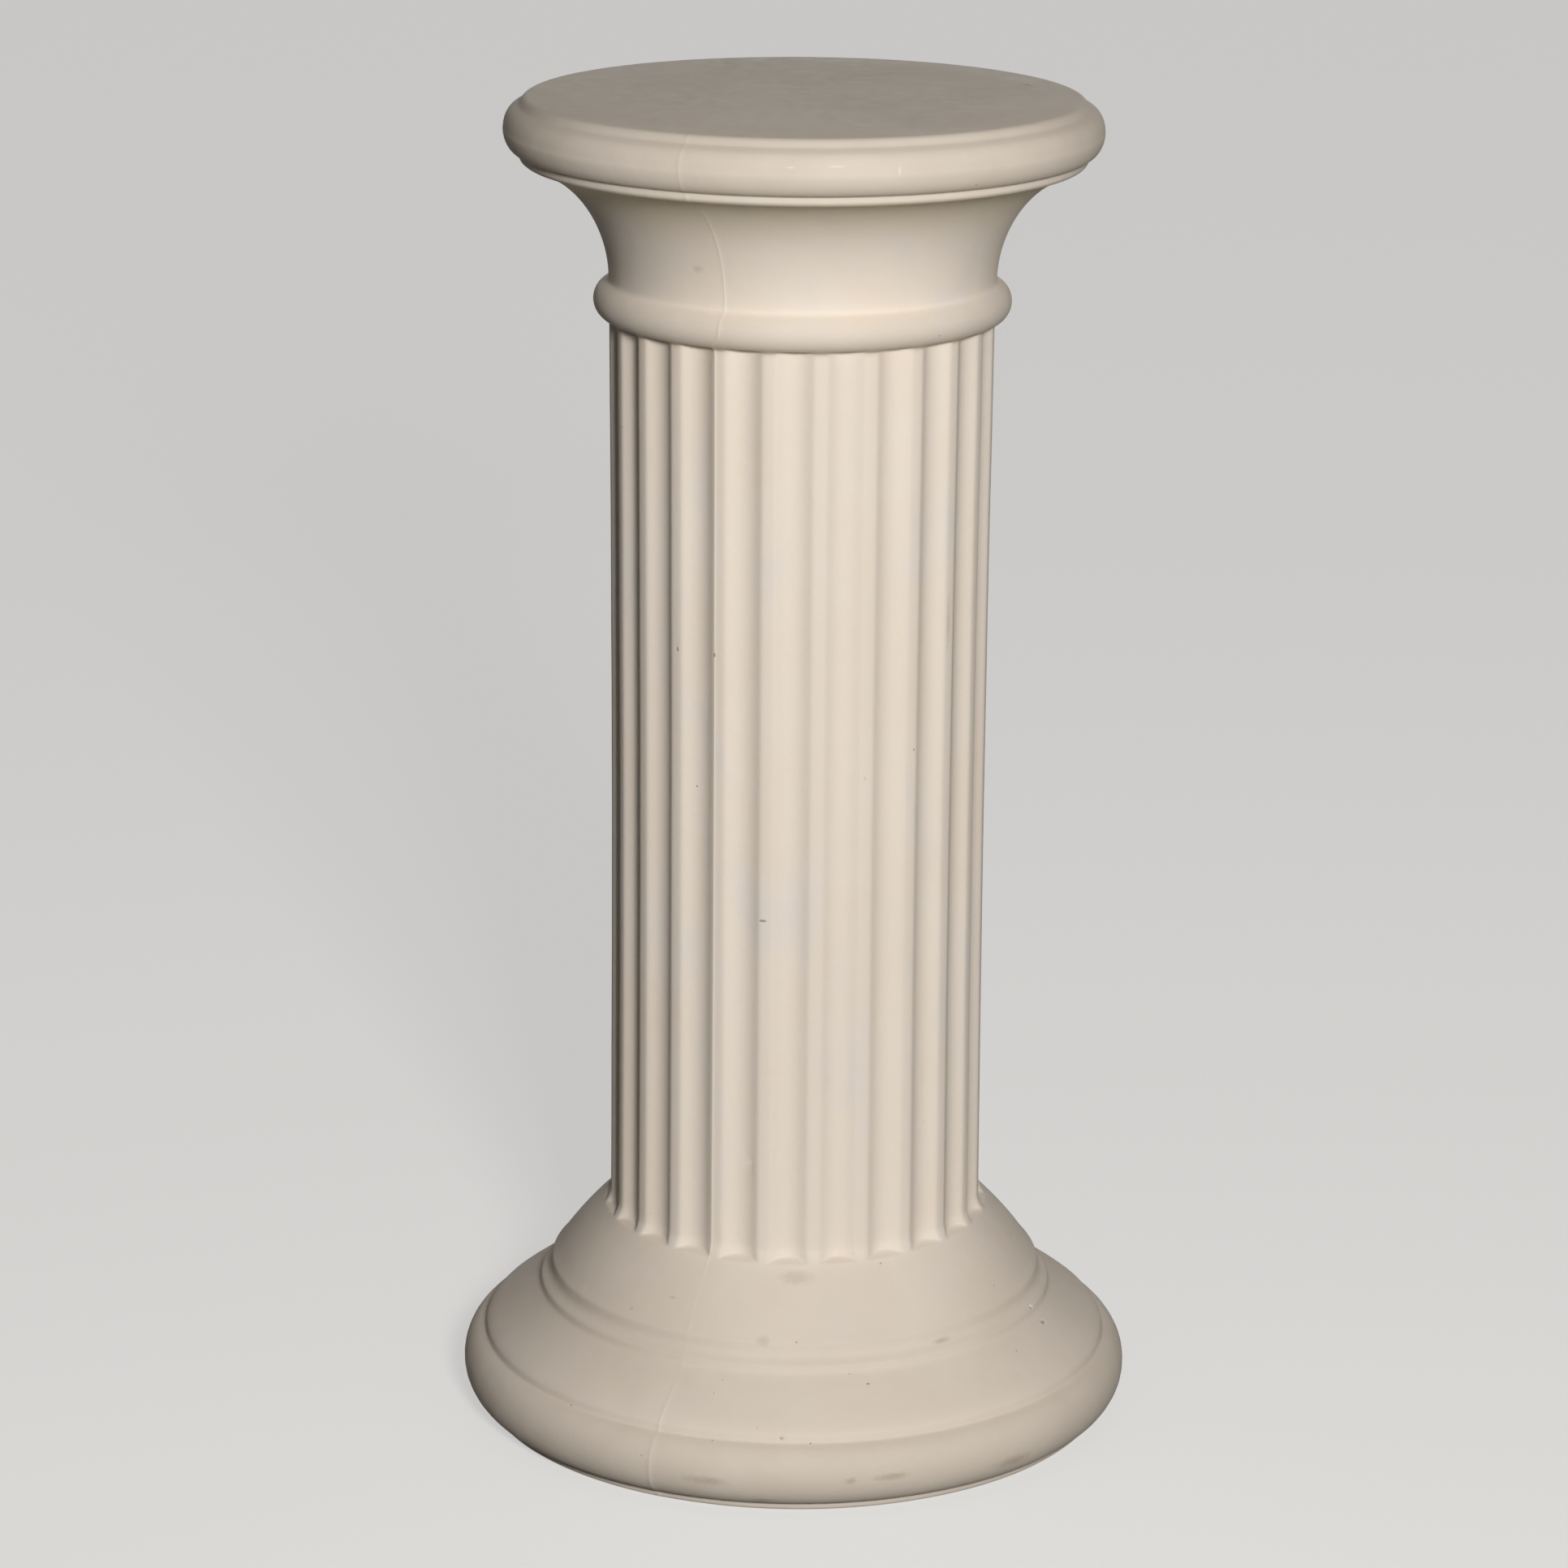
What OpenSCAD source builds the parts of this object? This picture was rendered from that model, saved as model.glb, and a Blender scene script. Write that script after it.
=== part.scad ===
// Round pedestal column: a fluted shaft between a stepped foot and a coved head,
// moulded in one piece. +Z is up, and the origin is the centre of the underside.

/* [Overall] */
// Height from the underside to the flat top
column_h = 711; // [500:1:1200]
// Widest radius of the foot
foot_r = 181; // [150:0.5:230]
// Widest radius of the head
head_r = 154.8; // [140:0.1:190]
// Radius of the shaft over its fillets
shaft_r = 100.5; // [80:0.5:115]

/* [Flutes] */
// Number of flutes round the shaft
flute_count = 24; // [12:1:30]
// Width of a flute across its mouth
flute_w = 18.4; // [8:0.1:20]
// Depth of a flute at its floor
flute_depth = 4; // [2:0.1:7]
// Rise of a flute's toe for each millimetre that it runs inwards
toe_rise = 0.35; // [0.1:0.05:1]

/* [Head] */
// Radius that rounds the rim of the flat top
rim_round = 4.7; // [2:0.1:6]
// How far the head's roll stands out past the rim of the flat top
roll_past_rim = 8.6; // [6:0.1:14]
// Height of the head's roll
head_roll_h = 23.5; // [14:0.5:34]
// How far the head's roll bulges past the fillet under it
head_roll_out = 8.2; // [4:0.1:12]
// Height of the fillet under the roll
head_fillet_h = 3.3; // [2:0.1:10]
// How far the fillet's lower arris is eased back to the cove
head_fillet_ease = 1.7; // [1:0.1:4]
// Height of the cove
cove_h = 62.6; // [40:0.1:90]
// Part of a quarter oval that the cove sweeps, in degrees
cove_sweep = 77; // [60:1:88]

/* [Astragal] */
// Height of the half-round ring at the top of the shaft
astragal_h = 18.7; // [12:0.1:32]
// How far the ring stands out from the shaft
astragal_out = 8.3; // [4:0.1:14]

/* [Foot] */
// Height of the low rim that the column stands on
rim_h = 4; // [2:0.5:8]
// How far the rim is set in from the foot's widest radius
rim_set_in = 11; // [8:0.5:16]
// Height of the foot's big roll
foot_roll_h = 33; // [22:0.5:45]
// How far the big roll bulges past its root
foot_roll_out = 12; // [6:0.5:18]
// Height of the step on the big roll
step_h = 4; // [2:0.5:8]
// How far the step's upper arris is eased back, up and in alike
step_ease = 3.5; // [1:0.5:6]
// Height of the sloping splay above the step
splay_h = 19; // [12:0.5:30]
// Height of each narrow fillet beside the hollow
narrow_fillet_h = 4; // [2:0.5:7]
// Height of the small hollow between the narrow fillets
hollow_h = 6; // [3:0.5:10]
// How far the lower narrow fillet stands out past the upper one
hollow_out = 6; // [3:0.5:10]
// Height of the ledge between the upper fillet and the shoulder
ledge_h = 2; // [1:0.5:4]
// How far the upper fillet stands out past the shoulder
ledge_out = 2.5; // [1:0.5:5]
// Radius at the bottom of the shoulder
shoulder_r = 130.5; // [128:0.5:150]
// Height of the shoulder, from the ledge to the collar
shoulder_h = 31; // [18:0.5:40]
// How far the shoulder crowns above a straight slope
shoulder_crown = 1.2; // [0:0.1:3]
// Height of the collar, where the fillets flare out on to the shoulder
collar_h = 6; // [4:0.5:16]
// How far the collar spreads past the shaft
collar_out = 3; // [2:0.1:7]

/* [Hidden] */

ivory = "#e1d5c8";

// Straight stretches that stand for each half round, quarter round or bowed slope
half_round_steps = 20;
quarter_round_steps = 8;
cove_steps = 20;
bow_steps = 6;
// How far the hollow is dished, as a bow of its slope
hollow_dish = -1.2;
// Each straight side of a flute stands this far outside its mouth
collar_ease = 0.5;
// The cutters run this far past what they cut
clear = 2;

// Levels of the foot, counted up from the underside
foot_roll_z = rim_h;
step_z = foot_roll_z + foot_roll_h;
step_ease_z = step_z + step_h;
splay_z = step_ease_z + step_ease;
lower_fillet_z = splay_z + splay_h;
hollow_z = lower_fillet_z + narrow_fillet_h;
upper_fillet_z = hollow_z + hollow_h;
ledge_z = upper_fillet_z + narrow_fillet_h;
shoulder_z = ledge_z + ledge_h;
collar_z = shoulder_z + shoulder_h;
shaft_z = collar_z + collar_h;

// Levels of the head, counted down from the flat top
head_roll_top = column_h - rim_round;
head_roll_z = head_roll_top - head_roll_h;
head_fillet_z = head_roll_z - head_fillet_h;
cove_top_z = head_fillet_z - head_fillet_ease;
cove_z = cove_top_z - cove_h;
astragal_z = cove_z - astragal_h;

// Radii of the foot
foot_root_r = foot_r - foot_roll_out;
splay_r = foot_root_r - step_ease;
upper_fillet_r = shoulder_r + ledge_out;
lower_fillet_r = upper_fillet_r + hollow_out;
collar_r = shaft_r + collar_out;

// Radii of the head
head_fillet_r = head_r - head_roll_out;
cove_top_r = head_fillet_r - head_fillet_ease;
rim_r = head_r - roll_past_rim;

// The oval that the cove follows, from its sweep
cove_oval_w = (cove_top_r - shaft_r) / (1 - cos(cove_sweep));
cove_oval_h = cove_h / sin(cove_sweep);
cove_centre = [shaft_r + cove_oval_w, cove_z];
cove_step = cove_sweep / cove_steps;

// The round that gives a flute its width and depth
flute_mouth_r = sqrt(shaft_r * shaft_r - flute_w * flute_w / 4);
flute_floor_r = shaft_r - flute_depth;
flute_sagitta = flute_mouth_r - flute_floor_r;
flute_round_r = (flute_w * flute_w / 4 + flute_sagitta * flute_sagitta) / (2 * flute_sagitta);
flute_centre_r = flute_floor_r + flute_round_r;
flute_pitch = 360 / flute_count;
// Through the collar a flute is straight-sided, a little wider than its mouth
flute_collar_w = flute_w + 2 * collar_ease;
// The toe runs this far inwards from the foot of the collar, past the floor of the flutes
toe_run = collar_out + flute_depth + clear;

// Points of an oval arc about a centre, between two angles from the horizontal
function oval_arc(centre, out, up, from, to, steps) = [
    for (i = [0:steps])
        let (angle = from + (to - from) * i / steps)
        centre + [out * cos(angle), up * sin(angle)]
];

// Points of a straight run that bows outwards by a given amount at its middle
function bowed_run(start, end, bow, steps) =
    let (run = end - start)
    let (across = [run[1], -run[0]] / norm(run))
    [
        for (i = [0:steps])
            let (part = i / steps)
            start + run * part + across * bow * 4 * part * (1 - part)
    ];

// Half round that bulges from a root radius between two levels
function roll(root_r, low_z, h, out) =
    oval_arc([root_r, low_z + h / 2], out, h / 2, -90, 90, half_round_steps);

// Outline of the foot, from the centre of the underside up to the shaft
function foot_outline() = concat(
    [[0, 0], [foot_r - rim_set_in, 0], [foot_r - rim_set_in, rim_h]],
    roll(foot_root_r, foot_roll_z, foot_roll_h, foot_roll_out),
    [[foot_root_r, step_ease_z], [splay_r, splay_z], [lower_fillet_r, lower_fillet_z]],
    bowed_run([lower_fillet_r, hollow_z], [upper_fillet_r, upper_fillet_z], hollow_dish, bow_steps),
    [[upper_fillet_r, ledge_z]],
    bowed_run([shoulder_r, shoulder_z], [collar_r, collar_z], shoulder_crown, bow_steps),
    [[shaft_r, shaft_z]]
);

// Outline of the head, from the shaft up to the centre of the flat top
function head_outline() = concat(
    roll(shaft_r, astragal_z, astragal_h, astragal_out),
    oval_arc(cove_centre, -cove_oval_w, cove_oval_h, cove_step, cove_sweep, cove_steps - 1),
    [[head_fillet_r, head_fillet_z]],
    roll(head_fillet_r, head_roll_z, head_roll_h, head_roll_out),
    oval_arc([rim_r - rim_round, head_roll_top], rim_round, rim_round, 0, 90, quarter_round_steps),
    [[0, column_h]]
);

// The column before it is fluted
module turned_body() {
    rotate_extrude($fn = 96)
        polygon(concat(foot_outline(), head_outline()));
}

// What stays under the flutes: the foot, with a toe that slopes in from the foot of the collar
module flute_toe() {
    toe_top = collar_z + toe_run * toe_rise;
    rotate_extrude($fn = 96)
        polygon([
            [0, collar_z - 2 * clear],
            [foot_r, collar_z - 2 * clear],
            [foot_r, collar_z],
            [collar_r, collar_z],
            [collar_r - toe_run, toe_top],
            [0, toe_top]
        ]);
}

// Section of a flute: round up to its mouth, and straight-sided out through the collar
module flute_section() {
    intersection() {
        union() {
            translate([flute_centre_r, 0])
                circle(r = flute_round_r, $fn = 64);
            translate([flute_centre_r, -flute_collar_w / 2])
                square([foot_r, flute_collar_w]);
        }
        translate([0, -flute_collar_w / 2])
            square([2 * foot_r, flute_collar_w]);
    }
}

// The flutes, one between each two fillets, ending on the toe
module flute_cutters() {
    difference() {
        for (i = [0:flute_count - 1])
            rotate([0, 0, (i + 0.5) * flute_pitch])
                translate([0, 0, collar_z - clear])
                    linear_extrude(astragal_z - collar_z + clear)
                        flute_section();
        flute_toe();
    }
}

module column() {
    color(ivory)
        difference() {
            turned_body();
            flute_cutters();
        }
}

column();
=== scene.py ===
"""Looks for a moulded ivory pedestal column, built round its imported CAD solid.

The column is one casting: a turned outline swept round the axis, with flutes let into the shaft.
Sizes are in millimetres, in the CAD part's own frame, and the mesh is scaled to metres as it is made.
"""
import logging
import math
from dataclasses import dataclass, field
from enum import Enum

import bmesh
import bpy
import numpy as np
from bpy.types import Material, Mesh, Node, NodeSocket, NodeTree, Object
from mathutils import Euler, Matrix, Vector
from mathutils.kdtree import KDTree


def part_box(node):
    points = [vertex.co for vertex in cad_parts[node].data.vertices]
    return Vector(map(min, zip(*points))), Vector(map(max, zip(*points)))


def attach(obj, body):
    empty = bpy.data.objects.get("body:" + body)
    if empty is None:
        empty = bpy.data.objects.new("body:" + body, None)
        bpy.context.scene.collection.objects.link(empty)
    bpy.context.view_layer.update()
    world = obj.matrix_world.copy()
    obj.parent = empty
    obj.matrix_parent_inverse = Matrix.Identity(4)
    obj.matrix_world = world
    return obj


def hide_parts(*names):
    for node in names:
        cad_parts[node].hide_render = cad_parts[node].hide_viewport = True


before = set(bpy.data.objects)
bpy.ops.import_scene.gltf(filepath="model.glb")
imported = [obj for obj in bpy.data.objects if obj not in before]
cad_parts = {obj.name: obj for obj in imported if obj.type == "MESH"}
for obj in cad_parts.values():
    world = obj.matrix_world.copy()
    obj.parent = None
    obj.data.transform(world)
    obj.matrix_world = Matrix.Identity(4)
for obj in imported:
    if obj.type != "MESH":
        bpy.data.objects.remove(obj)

LOG = logging.getLogger("column")
MM = 0.001
ROOT_BODY = "root"
CAD_NODE = "column"
# Where a row has no toe, the toe's limit is put this far outside the surface
CLEAR_OUT = 40.0
# The node types that the trees below use most
MATH, VECTOR_MATH = "ShaderNodeMath", "ShaderNodeVectorMath"
MAP_RANGE, NOISE = "ShaderNodeMapRange", "ShaderNodeTexNoise"
SMOOTH = {"interpolation_type": "SMOOTHSTEP"}


def linear_colour(code: str) -> tuple[float, float, float, float]:
    """Turns an sRGB hex colour into the linear colour that a shader takes.

    Args:
        code: Six hex digits after a hash sign.

    Returns:
        Linear red, green and blue, and an alpha of one.
    """
    parts = [int(code[i:i + 2], 16) / 255 for i in (1, 3, 5)]
    turned = [p / 12.92 if p <= 0.04045 else ((p + 0.055) / 1.055) ** 2.4 for p in parts]
    return (*turned, 1.0)


def add_node(tree: NodeTree, kind: str, settings: dict | None = None,
             feeds: dict | None = None) -> Node:
    """Adds one node, with its settings, values and links.

    Args:
        tree: The shader or geometry tree that takes the node.
        kind: Blender's name for the node type.
        settings: Properties of the node, by name.
        feeds: What goes into each input, by its name or place: a socket, a node, or a value.

    Returns:
        The new node. Fed to another node, it stands for its first output in use.
    """
    node = tree.nodes.new(kind)
    for name, value in (settings or {}).items():
        setattr(node, name, value)
    for key, value in (feeds or {}).items():
        if isinstance(key, int):
            socket = node.inputs[key]
        else:
            socket = next(s for s in node.inputs if s.name == key and s.enabled)
        if isinstance(value, Node):
            value = next(s for s in value.outputs if s.enabled)
        if isinstance(value, NodeSocket):
            tree.links.new(value, socket)
        else:
            socket.default_value = value
    return node


def eased(share: np.ndarray) -> np.ndarray:
    """Turns a straight run from zero to one into one that starts and ends gently."""
    share = np.clip(share, 0, 1)
    return share * share * (3 - 2 * share)


def turn_between(azimuth: np.ndarray, other: float) -> np.ndarray:
    """Gives the turn from one azimuth to others, in degrees between -180 and 180."""
    return (azimuth - other + 180) % 360 - 180


def bell(soft: float, step: float) -> np.ndarray:
    """Gives the weights of a bell curve, sampled at a step, that add up to one."""
    reach = int(4 * soft / step)
    weights = np.exp(-0.5 * (np.arange(-reach, reach + 1) * step / soft) ** 2)
    return weights / weights.sum()


def oval_arc(centre: tuple[float, float], out: float, up: float, start: float, end: float,
             steps: int = 48) -> np.ndarray:
    """Draws part of an oval.

    Args:
        centre: Radius and height of the oval's centre.
        out: Half width of the oval. A negative one opens it towards the axis.
        up: Half height of the oval.
        start: First angle from the horizontal, in degrees.
        end: Last angle, in degrees.
        steps: How many straight stretches stand for the arc.

    Returns:
        Points of radius and height.
    """
    turn = np.radians(np.linspace(start, end, steps + 1))
    return np.column_stack([centre[0] + out * np.cos(turn), centre[1] + up * np.sin(turn)])


def bowed_run(start: tuple[float, float], end: tuple[float, float], bow: float) -> np.ndarray:
    """Draws a straight run that bows outwards at its middle.

    Args:
        start: Radius and height where the run starts.
        end: Radius and height where it ends.
        bow: How far its middle stands out. A negative bow makes a hollow.

    Returns:
        Points of radius and height.
    """
    first, last = np.array(start), np.array(end)
    run = last - first
    across = np.array([run[1], -run[0]]) / np.hypot(*run)
    part = np.linspace(0, 1, 17)[:, None]
    return first + run * part + across * bow * 4 * part * (1 - part)


def softened_line(line: np.ndarray, soft: float, step: float) -> np.ndarray:
    """Rounds every corner of a line, as a casting from a worn mould is.

    Args:
        line: Points along the line.
        soft: Reach of the rounding.
        step: Spacing of the points that come back.

    Returns:
        Evenly spaced points along the rounded line.
    """
    gaps = np.hypot(*np.diff(line, axis=0).T)
    line = line[np.r_[True, gaps > step / 100]]
    along = np.r_[0, np.cumsum(np.hypot(*np.diff(line, axis=0).T))]
    even = np.linspace(0, along[-1], int(along[-1] / step) + 1)
    weights = bell(soft, step)
    rounded = []
    for values in line.T:
        padded = np.pad(np.interp(even, along, values), len(weights) // 2,
                        mode="reflect", reflect_type="odd")
        rounded.append(np.convolve(padded, weights, mode="valid"))
    return np.column_stack(rounded)


@dataclass
class Foot:
    """The stepped foot, from the underside up to the collar where the shaft's fillets flare out."""

    rim_set_in: float = 11.0
    rim_h: float = 4.0
    roll_h: float = 33.0
    roll_out: float = 12.0
    step_h: float = 4.0
    step_ease: float = 3.5
    splay_h: float = 19.0
    narrow_h: float = 4.0
    hollow_h: float = 6.0
    hollow_out: float = 6.0
    hollow_dish: float = -1.2
    ledge_h: float = 2.0
    ledge_out: float = 2.5
    shoulder_r: float = 130.5
    shoulder_h: float = 31.0
    shoulder_crown: float = 1.2
    collar_h: float = 6.0
    collar_out: float = 3.0
    soft: float = 1.5

    def levels(self) -> np.ndarray:
        """Counts up the level at the top of each moulding, the collar's last."""
        return np.cumsum([self.rim_h, self.roll_h, self.step_h, self.step_ease, self.splay_h,
                          self.narrow_h, self.hollow_h, self.narrow_h, self.ledge_h,
                          self.shoulder_h, self.collar_h])

    def outline(self, widest: float, shaft_r: float) -> np.ndarray:
        """Draws the foot from the axis at the underside up to the shaft.

        Args:
            widest: Widest radius of the foot.
            shaft_r: Radius of the shaft.

        Returns:
            Points of radius and height.
        """
        rim_z, roll_z, step_z, ease_z, splay_z, lower_z, hollow_z, upper_z, ledge_z, shoulder_z, collar_z \
            = self.levels()
        rim_r, root_r = widest - self.rim_set_in, widest - self.roll_out
        upper_r = self.shoulder_r + self.ledge_out
        lower_r = upper_r + self.hollow_out
        return np.vstack([
            [(0, 0), (rim_r, 0), (rim_r, rim_z)],
            oval_arc((root_r, (rim_z + roll_z) / 2), self.roll_out, self.roll_h / 2, -90, 90),
            [(root_r, step_z), (root_r - self.step_ease, ease_z), (lower_r, splay_z)],
            bowed_run((lower_r, lower_z), (upper_r, hollow_z), self.hollow_dish),
            [(upper_r, upper_z)],
            bowed_run((self.shoulder_r, ledge_z), (shaft_r + self.collar_out, shoulder_z),
                      self.shoulder_crown),
            [(shaft_r, collar_z)],
        ])


@dataclass
class Head:
    """The head, from the astragal up to the flat top."""

    radius: float = 154.8
    rim_round: float = 4.7
    roll_past_rim: float = 8.6
    roll_h: float = 23.5
    roll_out: float = 8.2
    fillet_h: float = 3.3
    fillet_ease: float = 1.7
    cove_h: float = 62.6
    cove_sweep: float = 77.0
    astragal_h: float = 18.7
    astragal_out: float = 8.3
    soft_astragal: float = 2.0
    soft_fillet: float = 0.9
    soft_rim: float = 1.8

    def levels(self, height: float) -> np.ndarray:
        """Counts down the level at the foot of each moulding, the astragal's last."""
        return height - np.cumsum([self.rim_round, self.roll_h, self.fillet_h + self.fillet_ease,
                                   self.cove_h, self.astragal_h])

    def softness(self, height: float) -> list[tuple[float, float]]:
        """Pairs the level that each softness starts at with that softness, from the astragal up."""
        rim_z, roll_z, _, cove_z, _ = self.levels(height)
        return [(cove_z - self.astragal_h * 2, self.soft_astragal),
                (cove_z + self.cove_h / 2, self.soft_fillet), ((rim_z + roll_z) / 2, self.soft_rim)]

    def outline(self, height: float, shaft_r: float) -> np.ndarray:
        """Draws the head from the shaft up to the axis at the flat top.

        Args:
            height: Height of the column.
            shaft_r: Radius of the shaft.

        Returns:
            Points of radius and height.
        """
        fillet_r, rim_r = self.radius - self.roll_out, self.radius - self.roll_past_rim
        rim_z, roll_z, cove_top, cove_z, astragal_z = self.levels(height)
        fillet_z = cove_top + self.fillet_ease
        sweep = math.radians(self.cove_sweep)
        oval_w = (fillet_r - self.fillet_ease - shaft_r) / (1 - math.cos(sweep))
        oval_h = self.cove_h / math.sin(sweep)
        return np.vstack([
            oval_arc((shaft_r, astragal_z + self.astragal_h / 2), self.astragal_out,
                     self.astragal_h / 2, -90, 90),
            oval_arc((shaft_r + oval_w, cove_z), -oval_w, oval_h, 1, self.cove_sweep),
            [(fillet_r, fillet_z)],
            oval_arc((fillet_r, (roll_z + rim_z) / 2), self.roll_out, self.roll_h / 2, -90, 90),
            oval_arc((rim_r - self.rim_round, rim_z), self.rim_round, self.rim_round, 0, 90),
            [(0, height)],
        ])


@dataclass
class Shaft:
    """The fluted shaft, a little waisted, with the arrises of its flutes worn soft."""

    radius: float = 100.5
    waist: float = 0.9
    flutes: int = 24
    flute_w: float = 18.4
    flute_depth: float = 4.0
    toe_rise: float = 0.35
    toe_soft: float = 1.0
    # Share of the collar's flare that the floor of a flute follows
    flute_flare: float = 0.6
    arris_soft: float = 1.3
    stations_per_flute: int = 16
    gather_at_arris: float = 0.5
    section_steps: int = 600

    def radius_at(self, part: np.ndarray) -> np.ndarray:
        """Gives the radius over the fillets at a part of the way up, drawn in at the waist."""
        return self.radius - self.waist * np.sin(np.pi * np.clip(part, 0, 1))

    def outline(self, low: float, high: float) -> np.ndarray:
        """Draws the shaft over its fillets, between two levels.

        Args:
            low: Level of its lower end.
            high: Level of its upper end.

        Returns:
            Points of radius and height, without the two ends.
        """
        part = np.linspace(0, 1, 41)[1:-1]
        return np.column_stack([self.radius_at(part), low + (high - low) * part])

    def pitch(self) -> float:
        """Gives the angle from one flute to the next, in degrees."""
        return 360 / self.flutes

    def mouth(self) -> float:
        """Gives the angle that half a flute's mouth spans, in degrees."""
        return math.degrees(math.asin(self.flute_w / 2 / self.radius))

    def spaced_azimuths(self) -> np.ndarray:
        """Spaces the stations of every flute: close at each arris and wide between.

        Returns:
            Azimuths in degrees. A fillet is centred on zero.
        """
        arris = 0.5 - self.mouth() / self.pitch()
        share = np.arange(self.stations_per_flute) / self.stations_per_flute
        turn = 2 * math.pi * share
        spaced = (share - (0.25 - arris) * np.sin(turn)
                  + self.gather_at_arris * np.sin(2 * turn) / (4 * math.pi))
        return ((np.arange(self.flutes)[:, None] + spaced) * self.pitch()).ravel()

    def section(self, azimuth: np.ndarray) -> tuple[np.ndarray, np.ndarray]:
        """Works out the flutes' section, rounded at its arrises.

        Args:
            azimuth: Azimuths in degrees.

        Returns:
            How deep the shaft is cut at each azimuth, and each azimuth's share in a flute.
        """
        floor_r = self.radius - self.flute_depth
        sagitta = math.sqrt(self.radius ** 2 - self.flute_w ** 2 / 4) - floor_r
        round_r = (self.flute_w ** 2 / 4 + sagitta ** 2) / (2 * sagitta)
        centre_r = floor_r + round_r
        step = self.pitch() / self.section_steps
        # From the middle of one fillet to the middle of the next, across a flute
        across = np.arange(self.section_steps) * step - self.pitch() / 2
        turn = np.radians(across)
        inside = np.abs(across) < self.mouth()
        half_chord = np.sqrt(np.maximum(round_r ** 2 - (centre_r * np.sin(turn)) ** 2, 0))
        cut = np.where(inside, self.radius - centre_r * np.cos(turn) + half_chord, 0)
        weights = bell(math.degrees(self.arris_soft / self.radius), step)
        smoothed = [np.convolve(np.pad(v, len(weights) // 2, mode="wrap"), weights, mode="valid")
                    for v in (cut, inside.astype(float))]
        return tuple(np.interp(azimuth, across + self.pitch() / 2, v, period=self.pitch())
                     for v in smoothed)


@dataclass
class PartingLine:
    """The fine raised line that the two halves of the mould leave down the casting."""

    azimuth: float = 238.6
    ridge: float = 0.22
    ridge_w: float = 0.85
    step: float = 0.15
    step_fade: float = 9.0
    follow_from: float = 2.0
    follow_to: float = 16.0
    # How many degrees the line wanders, and over what heights
    foot_drift: float = 1.5
    foot_drift_h: float = 75.0
    head_drift: float = 3.2
    head_drift_h: float = 9.0
    cove_drift: float = -0.5
    cove_drift_from: float = 40.0
    cove_drift_h: float = 60.0
    # How much of the line is lost, and over what heights
    foot_loss: float = 0.75
    foot_loss_h: float = 12.0
    foot_return_h: float = 20.0
    head_loss: float = 0.35
    head_loss_h: float = 25.0
    beside: tuple[float, ...] = (-1.9, -1.2, -0.7, -0.3, 0.0, 0.3, 0.7, 1.2, 1.9)

    def azimuths(self) -> tuple[float, float]:
        """Gives the azimuths of the two lines, half a turn apart."""
        return self.azimuth, self.azimuth - 180

    def add_stations(self, azimuth: np.ndarray, radius: float) -> np.ndarray:
        """Adds close stations at both lines, and drops the ones that they replace.

        Args:
            azimuth: Azimuths in degrees.
            radius: Radius that the line's width is measured at.

        Returns:
            Azimuths over a full turn, with the first repeated at the end.
        """
        near = np.degrees(self.ridge_w / radius) * np.array(self.beside)
        nearest = np.min([np.abs(turn_between(azimuth, s)) for s in self.azimuths()], axis=0)
        close = [(s + near) % 360 for s in self.azimuths()]
        ring = np.unique(np.concatenate([azimuth[nearest > 1.3 * near[-1]], *close]))
        return np.r_[ring, ring[0] + 360]

    def lift(self, azimuth: np.ndarray, radius: float) -> np.ndarray:
        """Works out how far the ridge, and the step beside it, stand out.

        Args:
            azimuth: Azimuths in degrees.
            radius: Radius that the line's width is measured at.

        Returns:
            Lifts in millimetres.
        """
        lift = np.zeros(len(azimuth))
        for line in self.azimuths():
            away = np.radians(turn_between(azimuth, line)) * radius
            lift += self.ridge * np.exp(-(away / self.ridge_w) ** 2)
            lift -= np.where(away > 0, self.step * np.exp(-away / self.step_fade), 0)
        return lift

    def follow(self, azimuth: np.ndarray) -> np.ndarray:
        """Says how far each azimuth moves with the line where it wanders, from zero to one."""
        nearest = np.min([np.abs(turn_between(azimuth, s)) for s in self.azimuths()], axis=0)
        return eased(1 - (nearest - self.follow_from) / (self.follow_to - self.follow_from))

    def drift(self, above_foot: np.ndarray, above_shaft: np.ndarray) -> np.ndarray:
        """Works out how far the line wanders: not on the shaft, and a little on the foot and head.

        Args:
            above_foot: Height above the top of the foot.
            above_shaft: Height above the top of the shaft.

        Returns:
            Turns in degrees.
        """
        return (self.head_drift * eased(above_shaft / self.head_drift_h)
                + self.cove_drift * eased((above_shaft - self.cove_drift_from) / self.cove_drift_h)
                + self.foot_drift * eased(-above_foot / self.foot_drift_h))

    def strength(self, above_foot: np.ndarray, above_shaft: np.ndarray) -> np.ndarray:
        """Works out how plain the line is: fainter on the slopes of the foot and on the head."""
        kept = eased((above_foot + self.foot_drift_h) / self.foot_return_h)
        return (1 - self.foot_loss * eased(-above_foot / self.foot_loss_h) * kept
                - self.head_loss * eased(above_shaft / self.head_loss_h))


class MarkKind(Enum):
    """What a small flaw in the casting is, which settles how it is coloured."""

    STAIN = "stain"
    GRIME = "grime"
    SCUFF = "scuff"
    NICK = "nick"
    PIT = "pit"


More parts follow.
